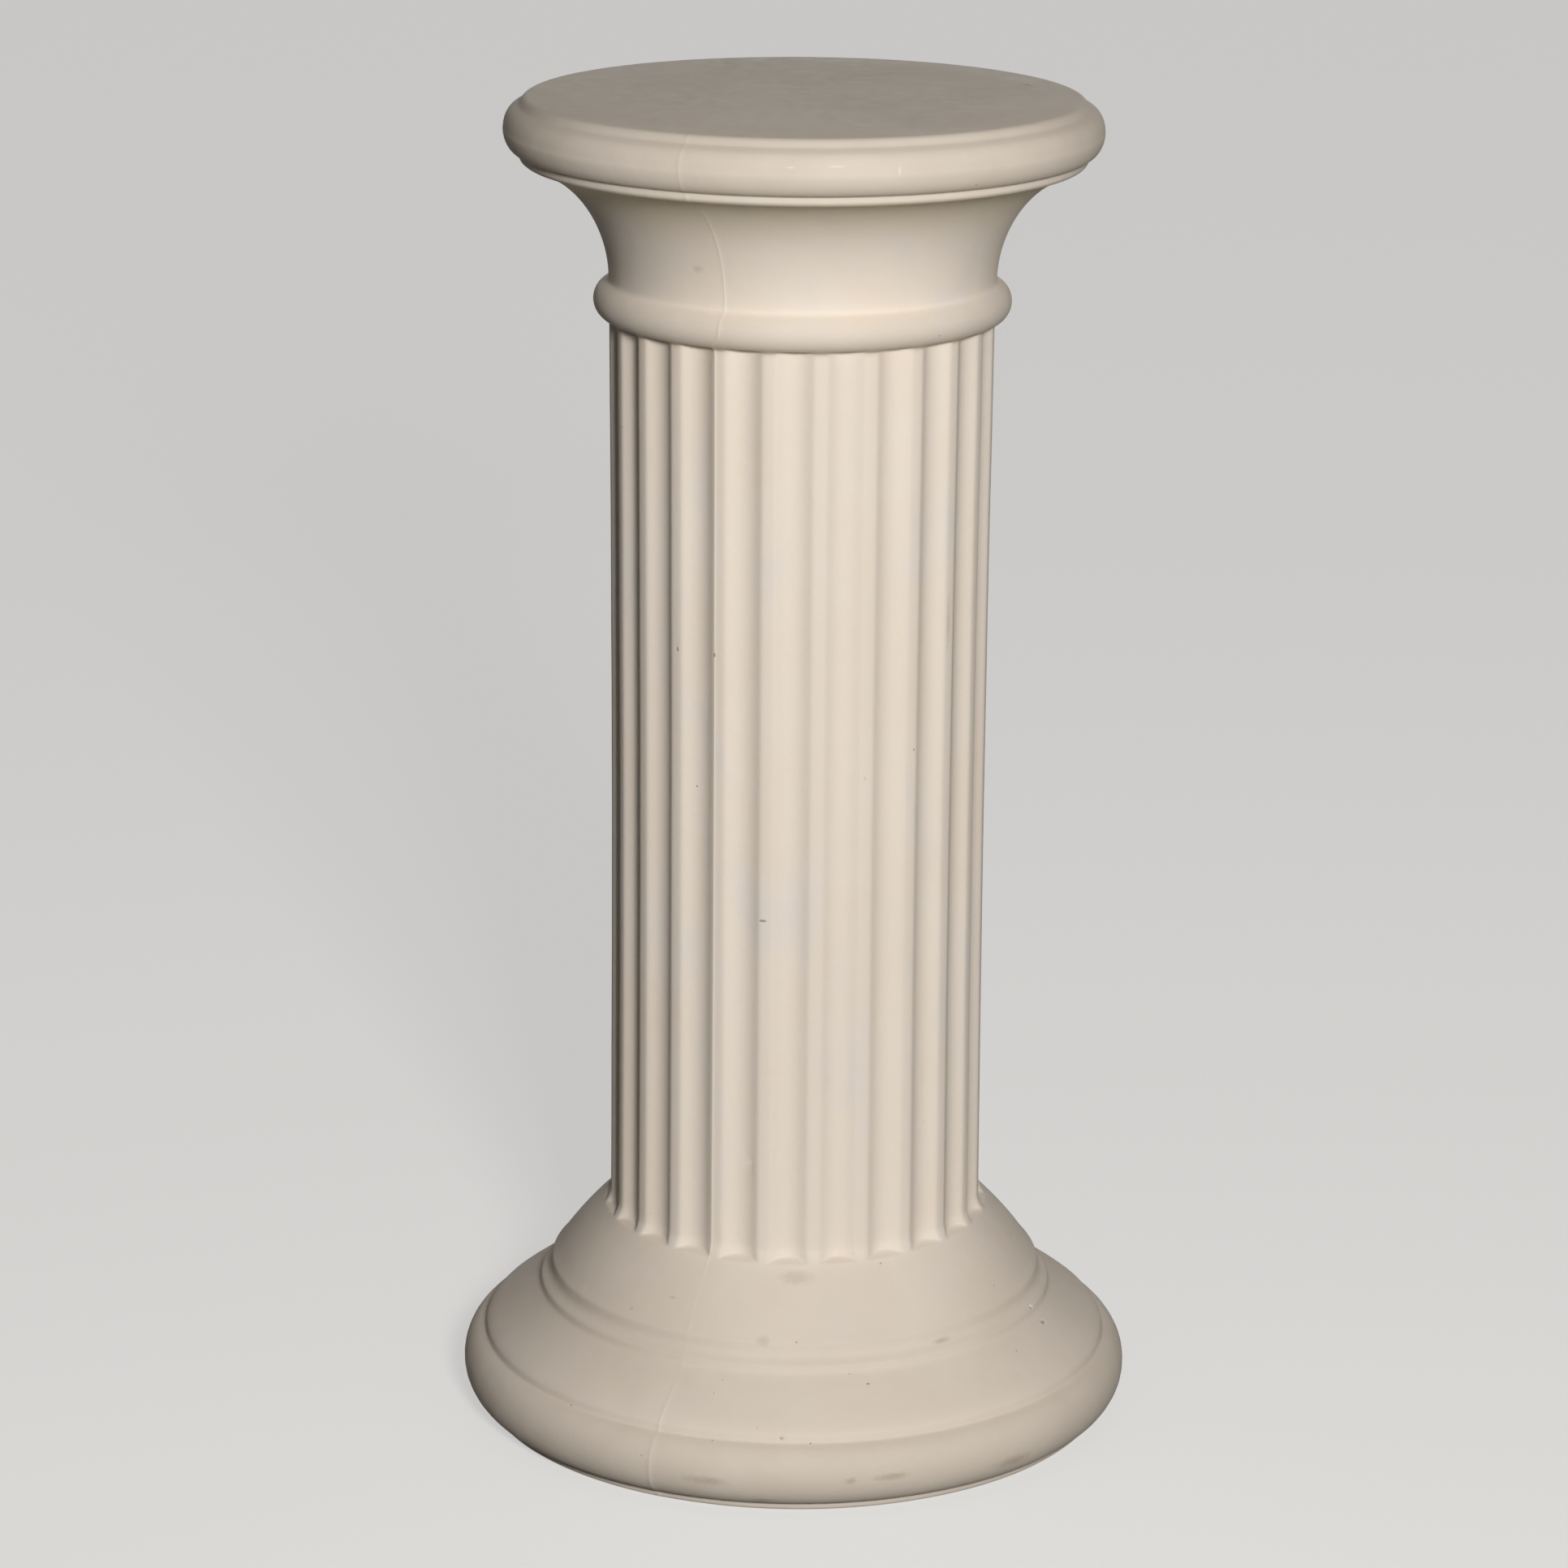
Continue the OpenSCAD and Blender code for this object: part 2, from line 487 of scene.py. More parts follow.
@dataclass(frozen=True)
class Mark:
    """One flaw in the casting, at an azimuth and height, wider than it is tall by its stretch."""

    kind: MarkKind
    azimuth: float
    z: float
    size: float
    depth: float = 0.0
    stretch: float = 1.0
    lean: float = 0.0
    # On the flat top a mark has a radius too
    radius: float = 0.0

    def turned(self) -> Euler:
        """Gives the mark's turn: outwards is its own x, and its long way is its own y."""
        return Euler((math.radians(self.lean), 0, math.radians(self.azimuth)))

    def half_sizes(self) -> Vector:
        """Gives the mark's reach along its own axes, in metres."""
        wide = self.size * MM / 2
        return Vector((wide, wide * self.stretch, wide))


# Each flaw with its place in metres
PlacedMarks = list[tuple[Mark, Vector]]


def casting_flaws() -> list[Mark]:
    """Lists the flaws that can be told apart on the casting, from the foot upwards.

    Returns:
        The marks.
    """
    stain, grime, scuff, nick, pit = MarkKind
    return [
        Mark(grime, 259.5, 8.0, 3.0, stretch=4.0), Mark(grime, 304.5, 15.0, 5.0, stretch=4.0),
        Mark(grime, 250.0, 18.5, 4.2, stretch=5.0), Mark(grime, 274.0, 20.5, 3.0, stretch=1.8),
        Mark(grime, 281.0, 21.0, 3.4, stretch=4.5), Mark(pit, 238.5, 26.5, 1.2, 0.4),
        Mark(pit, 254.5, 37.5, 1.0, 0.3), Mark(pit, 262.5, 40.0, 2.6, 0.7),
        Mark(pit, 258.0, 44.0, 1.0, 0.3), Mark(pit, 248.5, 55.0, 1.0, 0.4),
        Mark(nick, 280.0, 59.0, 1.6, 0.3, 1.5), Mark(nick, 332.5, 59.5, 2.4, 0.7, 1.8),
        Mark(pit, 249.5, 60.0, 1.0, 0.3), Mark(pit, 276.5, 63.0, 1.0, 0.3),
        Mark(pit, 332.0, 67.5, 2.6, 1.2), Mark(stain, 257.5, 78.5, 5.0, stretch=1.2),
        Mark(pit, 265.0, 78.5, 2.0, 0.6), Mark(grime, 300.0, 71.0, 2.4, stretch=4.0),
        Mark(grime, 222.5, 82.0, 1.4, stretch=1.6), Mark(grime, 232.5, 91.5, 1.5, stretch=2.4),
        Mark(pit, 290.0, 108.5, 1.4, 0.4), Mark(stain, 265.0, 105.5, 7.0, stretch=2.2),
        Mark(scuff, 250.5, 164.0, 2.4, 0.35, 1.6), Mark(nick, 254.0, 298.0, 1.6, 0.4, 2.8),
        Mark(stain, 284.5, 373.5, 2.0, stretch=0.6), Mark(nick, 301.0, 385.5, 2.0, 0.5, 0.6),
        Mark(nick, 225.5, 437.5, 2.4, 0.9, 0.5), Mark(nick, 238.5, 437.5, 2.6, 1.0, 0.5),
        Mark(stain, 314.5, 448.0, 24.0, stretch=0.1),
        Mark(stain, 234.0, 636.5, 3.6, stretch=1.5), Mark(scuff, 262.0, 698.5, 0.9, stretch=4.0),
        Mark(scuff, 270.5, 699.0, 0.9, stretch=9.0), Mark(scuff, 282.0, 696.5, 4.2, stretch=0.2),
        Mark(grime, 15.5, 711.0, 3.4, stretch=2.5, radius=124.0),
    ]


class FlutedSweep:
    """The geometry tree that sweeps the outline through the stations and lets the flutes in."""

    sizes = {"Outline": "Object", "Stations": "Object", "Rows": "Int", "Columns": "Int",
             "Toe softness": "Float", "Flute flare": "Float", "Ripple": "Float",
             "Ripple size": "Float", "Seed": "Float", "Finish": "Material"}
    merge_gap = 0.004

    def __init__(self) -> None:
        """Makes the tree with its named inputs."""
        self.tree = bpy.data.node_groups.new("fluted_sweep", "GeometryNodeTree")
        self.inputs = {
            name: self.tree.interface.new_socket(name=name, in_out="INPUT",
                                                 socket_type="NodeSocket" + kind).identifier
            for name, kind in self.sizes.items()}
        self.tree.interface.new_socket(name="Geometry", in_out="OUTPUT",
                                       socket_type="NodeSocketGeometry")
        self.build()

    def build(self) -> None:
        """Adds the tree's nodes."""
        tree = self.tree
        given = add_node(tree, "NodeGroupInput").outputs
        grid = add_node(tree, "GeometryNodeMeshGrid", None,
                        {"Vertices X": given["Columns"], "Vertices Y": given["Rows"]})
        index = add_node(tree, "GeometryNodeInputIndex")
        share = add_node(tree, MATH, {"operation": "ADD"}, {0: index, 1: 0.5})
        share = add_node(tree, MATH, {"operation": "DIVIDE"}, {0: share, 1: given["Rows"]})
        column = add_node(tree, MATH, {"operation": "FLOOR"}, {0: share})
        row = add_node(tree, MATH, {"operation": "MODULO"}, {0: index, 1: given["Rows"]})

        # Each point of the grid reads what its row and its column are
        known = {}
        for source, place, names in (
                ("Outline", row, ("radius", "height", "shaft", "toe", "drift", "plain", "worn")),
                ("Stations", column, ("azimuth", "depth", "flute", "lift", "follow"))):
            holder = add_node(tree, "GeometryNodeObjectInfo", None,
                              {"Object": given[source]}).outputs["Geometry"]
            for name in names:
                named = add_node(tree, "GeometryNodeInputNamedAttribute", {"data_type": "FLOAT"},
                                 {"Name": name})
                known[name] = add_node(tree, "GeometryNodeSampleIndex",
                                       {"data_type": "FLOAT", "clamp": True},
                                       {"Geometry": holder, "Index": place, "Value": named})

        known.update({name: given[name] for name in self.sizes})
        for name, operation, *feeds in (
                # The flare of the collar is full on the fillets, and less along the flutes
                ("flare", "SUBTRACT", "radius", "shaft"),
                ("proud", "MULTIPLY_ADD", "flute", "Flute flare", 1.0),
                ("reach", "MULTIPLY_ADD", "flare", "proud", "shaft"),
                ("reach", "SUBTRACT", "reach", "depth"),
                ("reach", "SMOOTH_MAX", "reach", "toe", "Toe softness"),
                ("reach", "MINIMUM", "reach", "radius"),
                # The parting line ends on the flat top and the underside before it meets the axis
                ("off axis", "GREATER_THAN", "radius", 1.0),
                ("seam", "MULTIPLY", "lift", "plain"),
                ("reach", "MULTIPLY_ADD", "seam", "off axis", "reach"),
                # What is near the line turns with it where it wanders
                ("turned", "MULTIPLY_ADD", "drift", "follow", "azimuth"),
                ("turned", "RADIANS", "turned"),
                ("ahead", "COSINE", "turned"),
                ("aside", "SINE", "turned"),
                ("fineness", "DIVIDE", 1.0, "Ripple size")):
            known[name] = add_node(tree, MATH, {"operation": operation},
                                   {i: known.get(feed, feed) for i, feed in enumerate(feeds)})

        outward = add_node(tree, "ShaderNodeCombineXYZ", None, {0: known["ahead"], 1: known["aside"]})
        level = add_node(tree, "ShaderNodeCombineXYZ", None, {2: known["height"]})
        place = add_node(tree, VECTOR_MATH, {"operation": "MULTIPLY_ADD"},
                         {0: outward, 1: known["reach"], 2: level})

        # A slow ripple that only goes inwards, so that the casting keeps inside its solid
        swell = add_node(tree, NOISE, {"noise_dimensions": "4D"},
                         {"Vector": place, "W": given["Seed"], "Detail": 1.0,
                          "Scale": known["fineness"]})
        for name in ("Ripple", "worn", "off axis"):
            swell = add_node(tree, MATH, {"operation": "MULTIPLY"}, {0: swell, 1: known[name]})
        inward = add_node(tree, VECTOR_MATH, {"operation": "MULTIPLY"}, {0: outward, 1: swell})
        place = add_node(tree, VECTOR_MATH, {"operation": "SUBTRACT"}, {0: place, 1: inward})

        shape = grid.outputs["Mesh"]
        for kind, feeds in (("GeometryNodeSetPosition", {"Position": place}),
                            ("GeometryNodeMergeByDistance", {"Distance": self.merge_gap}),
                            ("GeometryNodeTransform", {"Scale": (MM, MM, MM)}),
                            ("GeometryNodeSetShadeSmooth", {"Shade Smooth": True}),
                            ("GeometryNodeRealizeInstances", {}),
                            ("GeometryNodeSetMaterial", {"Material": given["Finish"]})):
            shape = add_node(tree, kind, None, {"Geometry": shape, **feeds})
        add_node(tree, "NodeGroupOutput", None, {0: shape})

    def sweep(self, name: str, values: dict[str, object]) -> Object:
        """Runs the tree and turns its result into a plain mesh object.

        Args:
            name: Name of the new piece.
            values: The tree's inputs, by name.

        Returns:
            The new object, with no modifier left on it.
        """
        carrier = bpy.data.objects.new(name, bpy.data.meshes.new(name))
        bpy.context.scene.collection.objects.link(carrier)
        modifier = carrier.modifiers.new("sweep", "NODES")
        modifier.node_group = self.tree
        for key, value in values.items():
            modifier[self.inputs[key]] = value
        shown = carrier.evaluated_get(bpy.context.evaluated_depsgraph_get())
        mesh = bpy.data.meshes.new_from_object(shown)
        carrier.modifiers.remove(modifier)
        carrier.data = mesh
        mesh.name = name
        return carrier


def points_object(name: str, values: dict[str, np.ndarray]) -> Object:
    """Makes a row of points that carries named values for the geometry tree.

    Args:
        name: Name of the object.
        values: One array for each named value, all of one length.

    Returns:
        The object.
    """
    count = len(next(iter(values.values())))
    mesh = bpy.data.meshes.new(name)
    mesh.from_pydata([(float(i), 0.0, 0.0) for i in range(count)], [], [])
    for key, array in values.items():
        ColumnMoulding.store(mesh, key, array)
    holder = bpy.data.objects.new(name, mesh)
    bpy.context.scene.collection.objects.link(holder)
    return holder


@dataclass(frozen=True)
class Surface:
    """What a finish's layers read: the tree, the surface's own place and height, and a fine mottle."""

    tree: NodeTree
    place: NodeSocket
    level: NodeSocket
    mottle: Node


# The node that gives each layer's share, with the colour that the layer takes
Layers = list[tuple[Node, str]]


@dataclass(frozen=True)
class MouldedResin:
    """Ivory resin, cast in a two-part mould and left matt: warm, chalky and faintly mottled.

    The eye reads a dry, soft-edged surface with broad dull highlights, brown dust and painted shade in the
    creases, painted yellowish shade on the undersides, a greyer foot and head roll with painted shade on
    the flat top, and a scatter of small dark pits.
    """

    name: str = "moulded_ivory_resin"
    ivory: str = "#e6dacb"
    warm: str = "#e6d4be"
    cool: str = "#dfd6ce"
    # Painted shade: a yellowish tint put on what faces down
    underside_shade_tint: str = "#e0d2b2"
    # Grey of handled mouldings, also painted as shade on the flat top
    soil_and_shade_grey: str = "#d2c5b5"
    # Brown of stains and grime, also painted as shade in the creases
    crease: str = "#8f7d66"
    speck: str = "#6b5c49"
    scuffed: str = "#f1e7da"
    ior: float = 1.46
    roughness: float = 0.78
    blotch_mm: float = 60.0
    cloud_mm: float = 34.0
    mottle_mm: float = 8.0
    # Casting grit is finer than this, and is drawn this coarse so that it shows
    grain_mm: float = 1.1
    speck_mm: float = 12.0

    def build(self, marks: PlacedMarks, toe: float) -> Material:
        """Builds the material.

        Args:
            marks: Each flaw with its place in metres.
            toe: Height of the flutes' toes in metres.

        Returns:
            The material.
        """
        material = bpy.data.materials.new(self.name)
        material.use_nodes = True
        tree = material.node_tree
        tree.nodes.clear()
        place = add_node(tree, "ShaderNodeTexCoord").outputs["Object"]
        level = add_node(tree, "ShaderNodeSeparateXYZ", None, {0: place}).outputs[2]
        mottle = add_node(tree, NOISE, None,
                          {"Vector": place, "Scale": 1 / (self.mottle_mm * MM), "Detail": 4.0,
                           "Roughness": 0.6})
        on = Surface(tree, place, level, mottle)
        layers = (self.cast_layers(on) + self.shade_and_soil_layers(on) + self.dirt_and_shade_layers(on, toe)
                  + self.mark_layers(on, marks))
        colour = linear_colour(self.ivory)
        for share, shade in layers:
            colour = add_node(tree, "ShaderNodeMix", {"data_type": "RGBA"},
                              {"Factor": share, "A": colour, "B": linear_colour(shade)})
        grain = add_node(tree, NOISE, None,
                         {"Vector": place, "Scale": 1 / (self.grain_mm * MM), "Detail": 3.0,
                          "Roughness": 0.6})
        skin = add_node(tree, "ShaderNodeBump", None,
                        {"Strength": 0.3, "Distance": 0.2 * MM, "Height": grain})
        skin = add_node(tree, "ShaderNodeBump", None,
                        {"Strength": 0.35, "Distance": 0.5 * MM, "Height": mottle, "Normal": skin})
        dull = add_node(tree, MAP_RANGE, SMOOTH,
                        {"Value": mottle, "From Min": 0.3, "From Max": 0.7,
                         "To Min": self.roughness + 0.06, "To Max": self.roughness - 0.06})
        shader = add_node(tree, "ShaderNodeBsdfPrincipled", None,
                          {"Base Color": colour, "Roughness": dull, "IOR": self.ior, "Normal": skin})
        add_node(tree, "ShaderNodeOutputMaterial", None, {"Surface": shader})
        return material

    def cast_layers(self, on: Surface) -> Layers:
        """Works out the blotches and clouds of the resin itself.

        Args:
            on: What the layers read.

        Returns:
            The layers.
        """
        tree, place = on.tree, on.place
        blotch = add_node(tree, NOISE, None,
                          {"Vector": place, "Scale": 1 / (self.blotch_mm * MM), "Detail": 3.0,
                           "Distortion": 0.4})
        upright = add_node(tree, "ShaderNodeMapping", None, {"Vector": place, "Scale": (1, 1, 0.45)})
        cloud = add_node(tree, NOISE, None,
                         {"Vector": upright, "Scale": 1 / (self.cloud_mm * MM), "Detail": 3.0,
                          "Distortion": 0.5})
        warm = add_node(tree, MAP_RANGE, SMOOTH,
                        {"Value": blotch, "From Min": 0.4, "From Max": 0.68, "To Max": 0.35})
        cool = add_node(tree, MAP_RANGE, SMOOTH,
                        {"Value": cloud, "From Min": 0.5, "From Max": 0.74, "To Max": 0.6})
        fine = add_node(tree, MAP_RANGE, SMOOTH,
                        {"Value": on.mottle, "From Min": 0.54, "From Max": 0.74, "To Max": 0.35})
        return [(warm, self.warm), (cool, self.cool), (fine, self.cool)]

    def shade_and_soil_layers(self, on: Surface) -> Layers:
        """Works out the painted yellowish shade on what faces down, and the greyer mouldings: grime from
        hands on the foot and roll, and painted shade on the flat top.

        Args:
            on: What the layers read.

        Returns:
            The layers.
        """
        tree, place = on.tree, on.place
        normal = add_node(tree, "ShaderNodeNewGeometry").outputs["Normal"]
        facing = add_node(tree, "ShaderNodeSeparateXYZ", None, {0: normal}).outputs[2]
        # Painted shade: a yellowish tint on what faces down, strongest on the undersides
        painted_under_shade = add_node(tree, MAP_RANGE, SMOOTH,
                         {"Value": facing, "From Min": -0.45, "From Max": -0.97, "To Max": 0.75})
        swirl = add_node(tree, NOISE, None,
                         {"Vector": place, "Scale": 1 / (self.blotch_mm * MM), "Detail": 5.0,
                          "Roughness": 0.55, "Distortion": 0.3})
        uneven = add_node(tree, MAP_RANGE, SMOOTH,
                          {"Value": swirl, "From Min": 0.3, "From Max": 0.7,
                           "To Min": 0.75, "To Max": 1.1})
        # Handling grime on the foot and head roll; on the flat top this share is painted shade
        soil_and_top_shade = add_node(tree, "ShaderNodeAttribute", {"attribute_name": "soil_and_top_shade"}).outputs["Fac"]
        soil_and_top_shade = add_node(tree, MATH, {"operation": "MULTIPLY"}, {0: soil_and_top_shade, 1: uneven})
        return [(painted_under_shade, self.underside_shade_tint), (soil_and_top_shade, self.soil_and_shade_grey)]

    def dirt_and_shade_layers(self, on: Surface, toe: float) -> Layers:
        """Works out the brown grime and painted shade in the creases, most of it at the flutes' toes, and
        the dark specks.

        Args:
            on: What the layers read.
            toe: Height of the flutes' toes in metres.

        Returns:
            The layers.
        """
        tree, place, level = on.tree, on.place, on.level
        hollow = add_node(tree, "ShaderNodeAttribute", {"attribute_name": "hollow"}).outputs["Fac"]
        # Painted crease shade with brown grime: darker where the surface is hollow, most at the flutes'
        # toes
        hollow_share = add_node(tree, MAP_RANGE, SMOOTH,
                           {"Value": hollow, "From Min": 0.08, "From Max": 0.5})
        from_toe = add_node(tree, MATH, {"operation": "SUBTRACT"}, {0: level, 1: toe})
        from_toe = add_node(tree, MATH, {"operation": "ABSOLUTE"}, {0: from_toe})
        much = add_node(tree, MAP_RANGE, SMOOTH,
                        {"Value": from_toe, "From Min": 8 * MM, "From Max": 3 * MM,
                         "To Min": 0.3, "To Max": 0.85})
        patchy = add_node(tree, MAP_RANGE, SMOOTH,
                          {"Value": on.mottle, "From Min": 0.3, "From Max": 0.65, "To Min": 0.25})
        dirt_and_crease_shade = hollow_share
        for share in (patchy, much):
            dirt_and_crease_shade = add_node(tree, MATH, {"operation": "MULTIPLY"}, {0: dirt_and_crease_shade, 1: share})

        cells = add_node(tree, "ShaderNodeTexVoronoi", None,
                         {"Vector": place, "Scale": 1 / (self.speck_mm * MM)})
        dot = add_node(tree, MAP_RANGE, SMOOTH, {"Value": cells, "From Min": 0.05, "From Max": 0.025})
        draw = add_node(tree, "ShaderNodeSeparateColor", None, {0: cells.outputs["Color"]})
        crowd = add_node(tree, MAP_RANGE, SMOOTH,
                         {"Value": level, "From Min": toe + 20 * MM, "From Max": toe - 20 * MM,
                          "To Min": 0.1, "To Max": 0.4})
        chosen = add_node(tree, MATH, {"operation": "LESS_THAN"}, {0: draw.outputs[0], 1: crowd})
        for share in (chosen, draw.outputs[1]):
            dot = add_node(tree, MATH, {"operation": "MULTIPLY"}, {0: dot, 1: share})
        return [(dirt_and_crease_shade, self.crease), (dot, self.speck)]

    def mark_layers(self, on: Surface, marks: PlacedMarks) -> Layers:
        """Works out where each kind of flaw colours the surface.

        Args:
            on: What the layers read.
            marks: Each flaw with its place in metres.

        Returns:
            One layer for each kind.
        """
        tree, place = on.tree, on.place
        looks = {MarkKind.STAIN: (self.crease, 0.22, 0.8), MarkKind.GRIME: (self.crease, 0.4, 0.9),
                 MarkKind.SCUFF: (self.scuffed, 0.55, 0.9), MarkKind.NICK: (self.crease, 0.75, 0.3),
                 MarkKind.PIT: (self.speck, 0.6, 0.3)}
        ragged = add_node(tree, NOISE, None,
                          {"Vector": place, "Scale": 1 / (3 * MM), "Detail": 3.0, "Roughness": 0.6})
        layers = []
        for kind, (shade, strength, soft) in looks.items():
            nearest = None
            for mark, centre in (pair for pair in marks if pair[0].kind is kind):
                moved = add_node(tree, "ShaderNodeMapping", {"vector_type": "TEXTURE"},
                                 {"Vector": place, "Location": centre, "Rotation": mark.turned(),
                                  "Scale": mark.half_sizes()})
                away = add_node(tree, VECTOR_MATH, {"operation": "LENGTH"}, {0: moved})
                nearest = away if nearest is None else add_node(
                    tree, MATH, {"operation": "MINIMUM"}, {0: nearest, 1: away})
            frayed = add_node(tree, MATH, {"operation": "MULTIPLY_ADD"},
                              {0: ragged, 1: 1.4, 2: nearest})
            share = add_node(tree, MAP_RANGE, SMOOTH,
                             {"Value": frayed, "From Min": 1.6 + soft, "From Max": 1.6 - soft,
                              "To Max": strength})
            layers.append((share, shade))
        return layers


@dataclass
class ColumnMoulding:
    """The whole casting, as one mesh that stands for the CAD column."""

    height: float
    foot_radius: float
    foot: Foot = field(default_factory=Foot)
    shaft: Shaft = field(default_factory=Shaft)
    head: Head = field(default_factory=Head)
    parting: PartingLine = field(default_factory=PartingLine)
    finish: MouldedResin = field(default_factory=MouldedResin)
    name: str = "column_moulding"
    slot: str = "moulded_ivory"
    fine_step: float = 0.2
    turn_per_row: float = 8.5
    longest_row: float = 3.8
    longest_shaft_row: float = 17.0
    longest_disc_row: float = 28.0
    toe_row: float = 0.6
    ripple: float = 0.35
    # The foot is this much more uneven than the shaft
    foot_ripple: float = 2.5
    ripple_size: float = 70.0
    seed: float = 7.0
    # Round each pit and nick, edges longer than this are split, out to this margin
    mark_edge: float = 0.5
    mark_margin: float = 1.5

    def __post_init__(self) -> None:
        """Works out the levels that the shaft starts and ends at."""
        self.shaft_low = float(self.foot.levels()[-1])
        self.shaft_high = float(self.head.levels(self.height)[-1])
        self.toe_z = self.shaft_low - self.foot.collar_h

    def outline(self) -> np.ndarray:
        """Draws the whole outline, softened moulding by moulding.

        Returns:
            Closely spaced points of radius and height.
        """
        line = np.vstack([self.foot.outline(self.foot_radius, self.shaft.radius),
                          self.shaft.outline(self.shaft_low, self.shaft_high),
                          self.head.outline(self.height, self.shaft.radius)])
        points = softened_line(line, self.foot.soft, self.fine_step)
        for start, soft in self.head.softness(self.height):
            above = softened_line(line, soft, self.fine_step)
            points = np.where((above[:, 1] > start)[:, None], above, points)
        points[:, 1] = np.clip(points[:, 1], 0, self.height)
        points[0], points[-1] = (0, 0), (0, self.height)
        return points

    def longest_at(self, z: float) -> float:
        """Gives the longest stretch between two rows at a height: short where the flutes end."""
        margin = self.fine_step / 10
        if z < margin or z > self.height - margin:
            return self.longest_disc_row
        if z < self.toe_z - 1 or z > self.shaft_high:
            return self.longest_row
        from_end = min(z - self.toe_z - self.foot.collar_h / 2, self.shaft_high - z)
        return float(np.clip(from_end / 3, self.toe_row, self.longest_shaft_row))

    def rows(self) -> np.ndarray:
        """Picks the mesh's rows: close where the outline turns, and wide apart where it runs straight.

        Returns:
            Points of radius and height.
        """
        points = self.outline()
        heading = np.unwrap(np.arctan2(*np.diff(points, axis=0)[:, ::-1].T))
        kept, turned, gone = [0], 0.0, 0.0
        for i in range(1, len(points) - 1):
            turned += abs(heading[i] - heading[i - 1])
            gone += self.fine_step
            if math.degrees(turned) > self.turn_per_row or gone > self.longest_at(points[i, 1]):
                kept.append(i)
                turned, gone = 0.0, 0.0
        return points[kept + [len(points) - 1]]

    def row_values(self, rows: np.ndarray) -> dict[str, np.ndarray]:
        """Works out what each row of the mesh is: its radius and height, the toe and the parting line.

        Args:
            rows: Points of radius and height.

        Returns:
            One array for each named value.
        """
        radius, z = rows.T
        above, below = z - self.shaft_low, z - self.shaft_high
        toe = self.shaft.radius + self.foot.collar_out - (z - self.toe_z) / self.shaft.toe_rise
        toe = np.where(below > 0, CLEAR_OUT, np.minimum(toe - radius, CLEAR_OUT)) + radius
        return {"radius": radius, "height": z, "toe": toe,
                "shaft": self.shaft.radius_at(above / (self.shaft_high - self.shaft_low)),
                "drift": self.parting.drift(above, below), "plain": self.parting.strength(above, below),
                "worn": 1 + (self.foot_ripple - 1) * eased(-above / 12)}

    def station_values(self) -> dict[str, np.ndarray]:
        """Works out what each station is: its azimuth, its part in a flute and in the parting line.

        Returns:
            One array for each named value.
        """
        azimuth = self.parting.add_stations(self.shaft.spaced_azimuths(), self.shaft.radius)
        depth, flute = self.shaft.section(azimuth)
        return {"azimuth": azimuth, "depth": depth, "flute": flute,
                "lift": self.parting.lift(azimuth, self.shaft.radius),
                "follow": self.parting.follow(azimuth)}

    def place_on(self, rows: np.ndarray, mark: Mark) -> Vector:
        """Finds a mark's place on the outermost surface at its height.

        Args:
            rows: Points of radius and height along the outline.
            mark: The mark.

        Returns:
            The place in metres.
        """
        radius = mark.radius
        if not radius:
            (r, z), (dr, dz) = rows[:-1].T, np.diff(rows, axis=0).T
            part = (mark.z - z) / np.where(dz == 0, np.inf, dz)
            radius = float(np.where((part > 0) & (part <= 1), r + part * dr, 0).max())
        if self.shaft_low < mark.z < self.shaft_high:
            radius -= float(self.shaft.section(np.array([mark.azimuth]))[0][0])
        turn = math.radians(mark.azimuth)
        return Vector((radius * math.cos(turn), radius * math.sin(turn), mark.z)) * MM

    def cut_marks(self, mesh: Mesh, marks: PlacedMarks) -> None:
        """Splits the faces round each pit and nick, and presses it in.

        Args:
            mesh: The casting's mesh.
            marks: Each flaw with its place in metres.
        """
        shape = bmesh.new()
        shape.from_mesh(mesh)
        deep = [(mark, centre) for mark, centre in marks if mark.depth]
        for pressing in (False, False, True):
            shape.verts.ensure_lookup_table()
            finder = KDTree(len(shape.verts))
            for vert in shape.verts:
                finder.insert(vert.co, vert.index)
            finder.balance()
            near = set()
            for mark, centre in deep:
                reach = (mark.size * max(1, mark.stretch) + self.mark_margin) * MM
                found = [shape.verts[i] for _, i, _ in finder.find_range(centre, reach)]
                near.update(e for v in found for e in v.link_edges
                            if e.calc_length() > self.mark_edge * MM)
                if pressing:
                    self.press(mark, centre, found)
            if not pressing:
                bmesh.ops.subdivide_edges(shape, edges=list(near), cuts=1, use_grid_fill=True)
                shape.verts.index_update()
        bmesh.ops.triangulate(shape, faces=[f for f in shape.faces if len(f.verts) > 4])
        bmesh.ops.recalc_face_normals(shape, faces=shape.faces)
        shape.to_mesh(mesh)
        shape.free()

    def press(self, mark: Mark, centre: Vector, verts: list[bmesh.types.BMVert]) -> None:
        """Presses one flaw into the surface.

        Args:
            mark: The flaw.
            centre: Its place in metres.
            verts: The points round it.
        """
        own_way, half = mark.turned().to_matrix(), mark.half_sizes()
        for vert in verts:
            away = own_way.transposed() @ (vert.co - centre)
            spread = math.hypot(*(a / h for a, h in zip(away, half)))
            vert.co -= own_way.col[0] * mark.depth * MM * math.exp(-spread ** 4)

    @staticmethod
    def store(mesh: Mesh, name: str, values: np.ndarray) -> None:
        """Stores one value at each point of a mesh, under a name."""
        data = mesh.attributes.new(name, "FLOAT", "POINT").data
        data.foreach_set("value", values.astype(np.float32))

